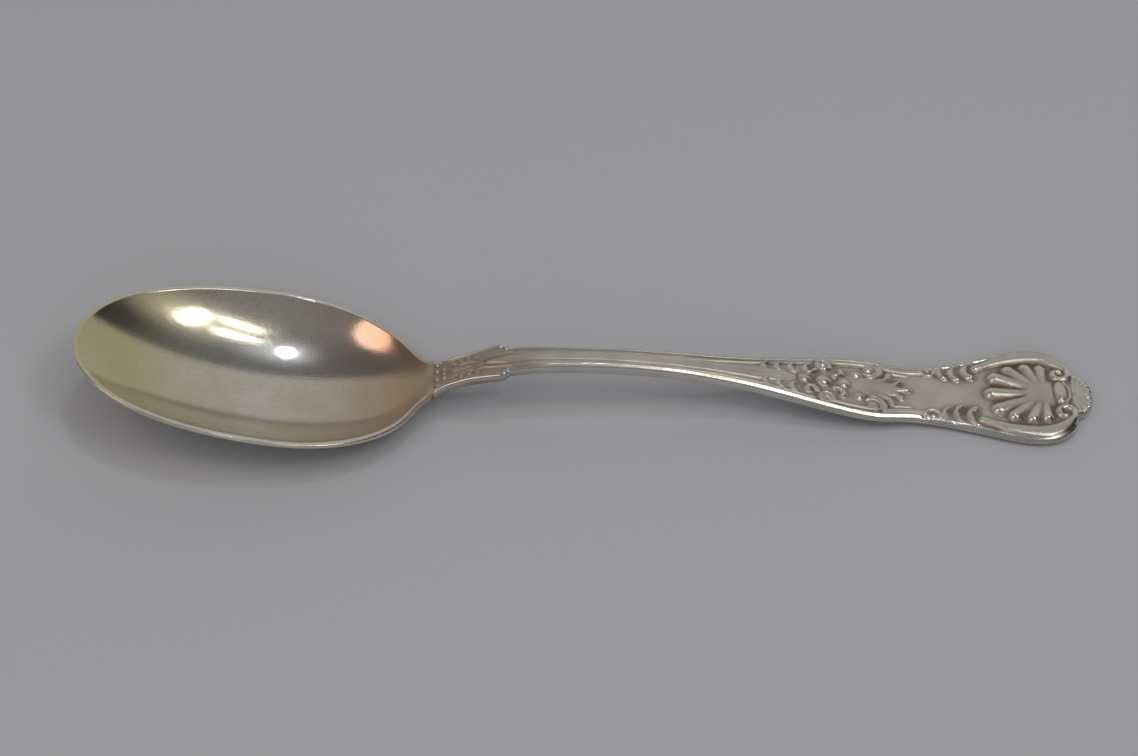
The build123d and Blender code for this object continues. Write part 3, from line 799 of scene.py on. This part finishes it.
def new_material(name):
    """A material and its empty node tree, or the one that was made before and None."""
    found = bpy.data.materials.get(name)
    if found:
        return found, None
    material = bpy.data.materials.new(name)
    material.use_nodes = True
    material.node_tree.nodes.clear()
    return material, material.node_tree


def solid(colour):
    """A colour with its alpha."""
    return (*colour, 1.0)


# Silver plate on nickel silver, buffed and then used: the bowl mirrors the room softly. A thin yellow
# film casts a haze round bright lamps, hairlines from cleaning run across it, the heel is
# copper-coloured, a yellow painted reflection of the far wall lies along the near rim, the neck's
# copper tint is partly a painted reflection of the warm room, and use has worn the rim white, which
# also paints its highlight.
def polished_silver(colours):
    material, tree = new_material("buffed_silver_plate")
    if tree is None:
        return material
    node = partial(add_node, tree)
    place = node("ShaderNodeTexCoord").outputs["Object"]
    along = node("ShaderNodeSeparateXYZ", {"Vector": place}).outputs

    # Where each film and the painted reflection lie: axis, where it begins and is full in metres, least and
    # greatest share
    spreads = {
        "near_wall": ("Y", 0.006, -0.003, 0.25, 0.75),
        "painted_near_reflection": ("Y", -0.008, -0.0135, 0.0, 0.5),
        "tip": ("X", -0.046, -0.07, 0.0, 0.65),
        "heel": ("X", -0.047, -0.0225, 0.0, 0.85),
        "neck": ("X", -0.027, -0.0226, 0.0, 0.75),
        "less_buffed": ("X", -0.032, -0.0235, 0.0, 0.2),
    }
    share = {}
    for name, (axis, start, full, least, most) in spreads.items():
        limits = {"From Min": start, "From Max": full, "To Min": least, "To Max": most}
        limits["Value"] = along[axis]
        spread = node("ShaderNodeMapRange", limits, interpolation_type="SMOOTHSTEP")
        share[name] = spread.outputs["Result"]

    # Clouds of film about 9 mm across
    cloud = node(
        "ShaderNodeTexNoise", {"Vector": place, "Scale": 1 / (9 * MM), "Detail": 4.0, "Roughness": 0.55}
    )
    film = node(
        "ShaderNodeMapRange",
        {"Value": cloud.outputs["Fac"], "From Min": 0.3, "From Max": 0.7, "To Max": share["near_wall"]},
    )
    # Specks of dirt and pits about 0.4 mm across
    grain = node("ShaderNodeTexNoise", {"Vector": place, "Scale": 1 / (0.4 * MM), "Detail": 2.0})
    speck = node(
        "ShaderNodeMapRange",
        {"Value": grain.outputs["Fac"], "From Min": 0.52, "From Max": 0.75, "To Max": 0.2},
    )
    worn_highlight = node("ShaderNodeAttribute", attribute_name="wear_and_highlight")
    layers = (
        (film.outputs["Result"], linear("ccbc90")),
        (share["tip"], linear("c9bd82")),
        (share["heel"], colours.copper_bloom),
        # Copper tint towards the neck, partly film and partly a painted reflection of the warm room
        (share["neck"], linear("bda48f")),
        # Yellow painted reflection of the bowl's far wall along the near rim
        (share["painted_near_reflection"], linear("f0d8ae")),
        (speck.outputs["Result"], linear("8f8b82")),
        # White worn rim, which also paints the rim's highlight
        (worn_highlight.outputs["Fac"], linear("ecebe6")),
    )
    tone = solid(colours.bowl_metal)
    for amount, colour in layers:
        layer = node("ShaderNodeMix", {0: amount, 6: tone, 7: solid(colour)}, data_type="RGBA")
        tone = layer.outputs[2]

    # Fine stains about 1.2 mm across, and a heel that is less buffed, as the neck is
    stain = node("ShaderNodeTexNoise", {"Vector": place, "Scale": 1 / (1.2 * MM), "Detail": 3.0})
    rough = node(
        "ShaderNodeMapRange",
        {"Value": stain.outputs["Fac"], "From Min": 0.3, "From Max": 0.75, "To Min": 0.105, "To Max": 0.14},
    )
    rough = node("ShaderNodeMath", {0: rough.outputs["Result"], 1: share["less_buffed"]}, operation="ADD")

    # Hairlines 0.05 mm wide and about 10 mm long, drawn three times as wide so that they show
    hairs = []
    for turn, length in ((25, 12 * MM), (-50, 9 * MM)):
        scale = (1 / length, 1 / (0.15 * MM), 1 / (4 * MM))
        turned = node(
            "ShaderNodeMapping", {"Vector": place, "Rotation": (0, 0, radians(turn)), "Scale": scale}
        )
        hair = node("ShaderNodeTexNoise", {"Vector": turned.outputs["Vector"], "Scale": 1.0, "Detail": 1.0})
        hairs.append(hair.outputs["Fac"])
    crossed = node("ShaderNodeMath", {0: hairs[0], 1: hairs[1]}, operation="MULTIPLY")
    bump = node("ShaderNodeBump", {"Height": crossed.outputs[0], "Strength": 0.35, "Distance": 0.02 * MM})
    pits = {"Height": grain.outputs["Fac"], "Strength": 0.4, "Distance": 0.01 * MM}
    bump = node("ShaderNodeBump", {**pits, "Normal": bump.outputs["Normal"]})
    haze = {"Coat Weight": 1.0, "Coat Roughness": 0.35}
    metal = {"Metallic": 1.0, "Roughness": rough.outputs[0], "Normal": bump.outputs["Normal"]}
    shader = node("ShaderNodeBsdfPrincipled", {"Base Color": tone, **metal, **haze})
    node("ShaderNodeOutputMaterial", {"Surface": shader.outputs["BSDF"]})
    return material


# Silver plate struck between dies and worn by hands: raised parts and edges are worn bright and
# carry a painted highlight, brown tarnish stays in the recesses, and the neck's copper-coloured tint
# is partly film and partly a painted reflection of the warm room.
def struck_silver(colours):
    material, tree = new_material("struck_silver_plate")
    if tree is None:
        return material
    node = partial(add_node, tree)
    place = node("ShaderNodeTexCoord").outputs["Object"]
    along = node("ShaderNodeSeparateXYZ", {"Vector": place}).outputs
    recess = node("ShaderNodeAttribute", attribute_name="recess").outputs["Fac"]
    wear_and_highlight = node("ShaderNodeAttribute", attribute_name="wear_and_highlight").outputs["Fac"]

    # Patches of film about 5 mm across, and the recesses
    patch = node("ShaderNodeTexNoise", {"Vector": place, "Scale": 1 / (5 * MM), "Detail": 4.0})
    film = node(
        "ShaderNodeMapRange",
        {"Value": patch.outputs["Fac"], "From Min": 0.35, "From Max": 0.7, "To Max": 0.3},
    )
    dark = node(
        "ShaderNodeMath",
        {0: recess, 1: 0.7, 2: film.outputs["Result"]},
        operation="MULTIPLY_ADD",
        use_clamp=True,
    )
    # Copper tint on the neck, partly film and partly a painted reflection of the warm room
    neck = node(
        "ShaderNodeMapRange",
        {"Value": along["X"], "From Min": -0.004, "From Max": -0.017, "To Max": 0.62},
        interpolation_type="SMOOTHSTEP",
    )
    # Worn ridges and edges are lighter, which also paints their highlights
    worn_highlight = node("ShaderNodeMath", {0: wear_and_highlight, 1: 0.6}, operation="MULTIPLY")
    layers = (
        (dark.outputs[0], colours.tarnish),
        (neck.outputs["Result"], linear("8c7260")),
        (worn_highlight.outputs[0], linear("efeeea")),
    )
    tone = solid(colours.handle_metal)
    for amount, colour in layers:
        layer = node("ShaderNodeMix", {0: amount, 6: tone, 7: solid(colour)}, data_type="RGBA")
        tone = layer.outputs[2]

    # Rubbed metal is smoother and tarnished metal duller. The die's grain is about 0.3 mm across
    dull = node("ShaderNodeMath", {0: wear_and_highlight, 1: -0.22, 2: 0.38}, operation="MULTIPLY_ADD")
    dull = node("ShaderNodeMath", {0: recess, 1: 0.2, 2: dull.outputs[0]}, operation="MULTIPLY_ADD")
    grain = node("ShaderNodeTexNoise", {"Vector": place, "Scale": 1 / (0.3 * MM), "Detail": 2.0})
    bump = node("ShaderNodeBump", {"Height": grain.outputs["Fac"], "Strength": 0.12, "Distance": 0.03 * MM})
    metal = {"Metallic": 1.0, "Roughness": dull.outputs[0], "Normal": bump.outputs["Normal"]}
    shader = node("ShaderNodeBsdfPrincipled", {"Base Color": tone, **metal})
    node("ShaderNodeOutputMaterial", {"Surface": shader.outputs["BSDF"]})
    return material


# Matt drawing paper: an even pale grey with faint clouds and a faint tooth.
def matt_paper(colours):
    material, tree = new_material("matt_paper")
    if tree is None:
        return material
    node = partial(add_node, tree)
    place = node("ShaderNodeTexCoord").outputs["Object"]
    # Clouds about 60 mm across and a tooth of about 1.2 mm
    cloud = node("ShaderNodeTexNoise", {"Vector": place, "Scale": 1 / (60 * MM), "Detail": 2.0})
    tooth = node("ShaderNodeTexNoise", {"Vector": place, "Scale": 1 / (1.2 * MM), "Detail": 3.0})
    shade = node(
        "ShaderNodeMapRange",
        {"Value": cloud.outputs["Fac"], "From Min": 0.3, "From Max": 0.7, "To Max": 0.06},
    )
    tone = node(
        "ShaderNodeMix",
        {0: shade.outputs["Result"], 6: solid(colours.paper), 7: solid(linear("a9aaac"))},
        data_type="RGBA",
    )
    bump = node("ShaderNodeBump", {"Height": tooth.outputs["Fac"], "Strength": 0.08, "Distance": 0.1 * MM})
    matt = {"Roughness": 0.85, "IOR": 1.5, "Normal": bump.outputs["Normal"]}
    shader = node("ShaderNodeBsdfPrincipled", {"Base Color": tone.outputs[2], **matt})
    node("ShaderNodeOutputMaterial", {"Surface": shader.outputs["BSDF"]})
    return material


# Stage, in metres

# Directions from the bowl to its lamps
WARM_SIDE = (0.5, -0.175, 0.85)
OVERHEAD = (0.16, 0.051, 0.986)
PAPER_HALF = 3.0
PHOTO_WIDTH = 1138  # pixels


def add_lamp(name, direction, size, power, colour, distance=1.1):
    """A soft box in a direction from the bowl, turned towards it."""
    lamp = bpy.data.lights.new(name, "AREA")
    lamp.shape = "ELLIPSE"
    lamp.size, lamp.size_y = size
    lamp.energy = power
    lamp.color = linear(colour)
    holder = add_object(name, lamp)
    bowl = Vector((-0.045, 0.0, 0.004))
    holder.location = bowl + Vector(direction).normalized() * distance
    holder.rotation_euler = (bowl - holder.location).to_track_quat("-Z", "Y").to_euler()
    return holder


def build_paper(colours):
    """The paper that the spoon lies on."""
    mesh = bpy.data.meshes.new("paper_floor")
    corners = [(-PAPER_HALF, -PAPER_HALF, 0), (PAPER_HALF, -PAPER_HALF, 0)]
    corners += [(PAPER_HALF, PAPER_HALF, 0), (-PAPER_HALF, PAPER_HALF, 0)]
    mesh.from_pydata(corners, [], [(0, 1, 2, 3)])
    mesh.materials.append(matt_paper(colours))
    floor = add_object("paper_floor", mesh)


def build_room():
    """The plain room that the metal mirrors."""
    world = bpy.data.worlds.new("studio_room")
    bpy.context.scene.world = world
    world.use_nodes = True
    tree = world.node_tree
    tree.nodes.clear()
    way = add_node(tree, "ShaderNodeTexCoord").outputs["Generated"]
    along = add_node(tree, "ShaderNodeSeparateXYZ", {"Vector": way}).outputs

    # A dim ceiling, brighter towards the front, a dark wall beyond the handle and pale paper behind:
    # axis, where the shade begins and is full, its share and its colour
    shades = (
        ("Y", 0.15, -0.4, 1.0, "838180"),
        ("X", 0.54, 0.76, 0.9, "262626"),
        ("Y", 0.36, 0.44, 1.0, "b0aea9"),
    )
    layers = []
    for axis, start, full, most, colour in shades:
        limits = {"Value": along[axis], "From Min": start, "From Max": full, "To Max": most}
        layers.append((limits, colour))
    # The ceiling is brighter round the lamps
    for towards, reach, colour in ((WARM_SIDE, 0.4, "cfc8b8"), (OVERHEAD, 0.26, "cccdd0")):
        lamp = Vector(towards).normalized()
        off = add_node(tree, "ShaderNodeVectorMath", {0: way, 1: lamp}, operation="DISTANCE")
        limits = {"Value": off.outputs["Value"], "From Min": reach, "From Max": 0.04, "To Max": 0.75}
        layers.append((limits, colour))
    tone = solid(linear("6a6a6b"))
    for limits, colour in layers:
        shade = add_node(tree, "ShaderNodeMapRange", limits, interpolation_type="SMOOTHSTEP")
        mixed = {0: shade.outputs["Result"], 6: tone, 7: solid(linear(colour))}
        tone = add_node(tree, "ShaderNodeMix", mixed, data_type="RGBA").outputs[2]
    light = add_node(tree, "ShaderNodeBackground", {"Color": tone, "Strength": 1.0})
    add_node(tree, "ShaderNodeOutputWorld", {"Surface": light.outputs["Background"]})


def build_lamps():
    """Small lamps that the bowl mirrors, and soft ones for the paper."""
    add_lamp("warm_box", WARM_SIDE, (0.28, 0.06), 0.5, "fffcf4")
    add_lamp("warm_strip_a", (0.345, -0.07, 0.92), (0.07, 0.2), 0.17, "fff8e0")
    add_lamp("warm_strip_b", (0.335, -0.23, 0.92), (0.07, 0.2), 0.17, "fff8e0")
    add_lamp("white_box", OVERHEAD, (0.04, 0.02), 0.42, "f3f7ff")
    add_lamp("peach_box", (-0.498, -0.216, 0.84), (0.5, 0.56), 1.2, "ffdcc8")

    # Light for the paper alone. The spoon mirrors a dim room in the place of these lamps.
    fills = (
        add_lamp("front_fill", (0.04, -0.73, 0.68), (3.6, 3.6), 33.0, "fdfdff", distance=2.4),
        add_lamp("overhead_fill", OVERHEAD, (0.24, 0.24), 0.7, "fdfdff"),
        add_lamp("handle_side_fill", (0.6, -0.54, 1.0), (0.24, 0.24), 1.0, "fdfdff"),
    )
    for fill in fills:
        fill.visible_glossy = False


def build_camera():
    """The camera at the photograph's place."""
    lens_px, distance = 3200.0, 0.473
    lift, turn, lean = radians(43.0), radians(-2.3), radians(1.34)
    target = Vector((-0.0027, 0.0056, 0.0))
    back = Vector((sin(turn) * cos(lift), -cos(turn) * cos(lift), sin(lift)))
    right = (-back).cross(Vector((0, 0, 1))).normalized()
    up = right.cross(-back)
    leaned_right = right * cos(lean) + up * sin(lean)
    leaned_up = up * cos(lean) - right * sin(lean)
    lens = bpy.data.cameras.new("camera")
    lens.sensor_fit = "HORIZONTAL"
    lens.sensor_width = 36.0
    lens.lens = lens_px / PHOTO_WIDTH * lens.sensor_width
    lens.clip_start, lens.clip_end = 0.01, 20.0
    camera = add_object("camera", lens)
    camera.matrix_world = Matrix((leaned_right, leaned_up, back)).transposed().to_4x4()
    camera.location = target + back * distance
    bpy.context.scene.camera = camera
    bpy.context.scene.view_settings.view_transform = "Standard"


# Operators


class TEASPOON_OT_bowl(bpy.types.Operator):
    """Builds the bowl"""

    bl_idname = "teaspoon.bowl"
    bl_label = "Bowl"

    def execute(self, context):
        build_bowl(context.scene.teaspoon)
        return {"FINISHED"}


class TEASPOON_OT_handle(bpy.types.Operator):
    """Builds the handle's plain blank"""

    bl_idname = "teaspoon.handle"
    bl_label = "Handle blank"

    def execute(self, context):
        build_handle(context.scene.teaspoon)
        return {"FINISHED"}


class TEASPOON_OT_stem_relief(bpy.types.Operator):
    """Builds the relief of the neck and the stem"""

    bl_idname = "teaspoon.stem_relief"
    bl_label = "Neck and stem relief"

    def execute(self, context):
        for group in ("neck_leaf", "edge_thread", "stem_rib"):
            build_relief(context.scene.teaspoon, group)
        return {"FINISHED"}


class TEASPOON_OT_middle_relief(bpy.types.Operator):
    """Builds the husks, blossom, scrolls and palmette in the middle of the handle"""

    bl_idname = "teaspoon.middle_relief"
    bl_label = "Middle relief"

    def execute(self, context):
        for group in ("husk_rows", "middle_blossom", "middle_scrolls", "palmette"):
            build_relief(context.scene.teaspoon, group)
        return {"FINISHED"}


class TEASPOON_OT_end_relief(bpy.types.Operator):
    """Builds the waist's scrolls and husks, and the shell, scrolls, boss and crest of the broad end"""

    bl_idname = "teaspoon.end_relief"
    bl_label = "Waist and end relief"

    def execute(self, context):
        for group in ("waist_scrolls", "waist_husks", "end_shell", "end_scrolls", "end_boss", "end_crest"):
            build_relief(context.scene.teaspoon, group)
        return {"FINISHED"}


class TEASPOON_OT_heel_drop(bpy.types.Operator):
    """Finishes the drop under the heel of the bowl"""

    bl_idname = "teaspoon.heel_drop"
    bl_label = "Heel drop"

    def execute(self, context):
        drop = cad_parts["heel_drop"]
        drop.data.materials.clear()
        drop.data.materials.append(struck_silver(context.scene.teaspoon.colours))
        return {"FINISHED"}


class TEASPOON_OT_stage(bpy.types.Operator):
    """Builds the floor, the room, the lamps and the camera"""

    bl_idname = "teaspoon.stage"
    bl_label = "Stage"

    def execute(self, context):
        build_paper(context.scene.teaspoon.colours)
        build_room()
        build_lamps()
        build_camera()
        return {"FINISHED"}


class TEASPOON_PT_panel(bpy.types.Panel):
    """Lists the sizes, the colours and the steps"""

    bl_idname = "TEASPOON_PT_panel"
    bl_label = "Teaspoon"
    bl_space_type = "VIEW_3D"
    bl_region_type = "UI"
    bl_category = "Teaspoon"

    def draw(self, context):
        settings = context.scene.teaspoon
        for group in (settings.sizes, settings.colours):
            for name in group.__annotations__:
                self.layout.prop(group, name)
        for step in STEPS:
            self.layout.operator(step.bl_idname)


STEPS = (
    TEASPOON_OT_bowl,
    TEASPOON_OT_handle,
    TEASPOON_OT_stem_relief,
    TEASPOON_OT_middle_relief,
    TEASPOON_OT_end_relief,
    TEASPOON_OT_heel_drop,
    TEASPOON_OT_stage,
)
CLASSES = (TeaspoonSizes, TeaspoonColours, TeaspoonSettings, *STEPS, TEASPOON_PT_panel)


def register():
    for item in CLASSES:
        bpy.utils.register_class(item)
    bpy.types.Scene.teaspoon = PointerProperty(
        name="Teaspoon", description="Settings of the spoon", type=TeaspoonSettings
    )


def unregister():
    del bpy.types.Scene.teaspoon
    for item in reversed(CLASSES):
        bpy.utils.unregister_class(item)


def main():
    register()
    bpy.ops.teaspoon.bowl()
    bpy.ops.teaspoon.handle()
    bpy.ops.teaspoon.stem_relief()
    bpy.ops.teaspoon.middle_relief()
    bpy.ops.teaspoon.end_relief()
    bpy.ops.teaspoon.heel_drop()
    bpy.ops.teaspoon.stage()


if __name__ == "__main__":
    main()
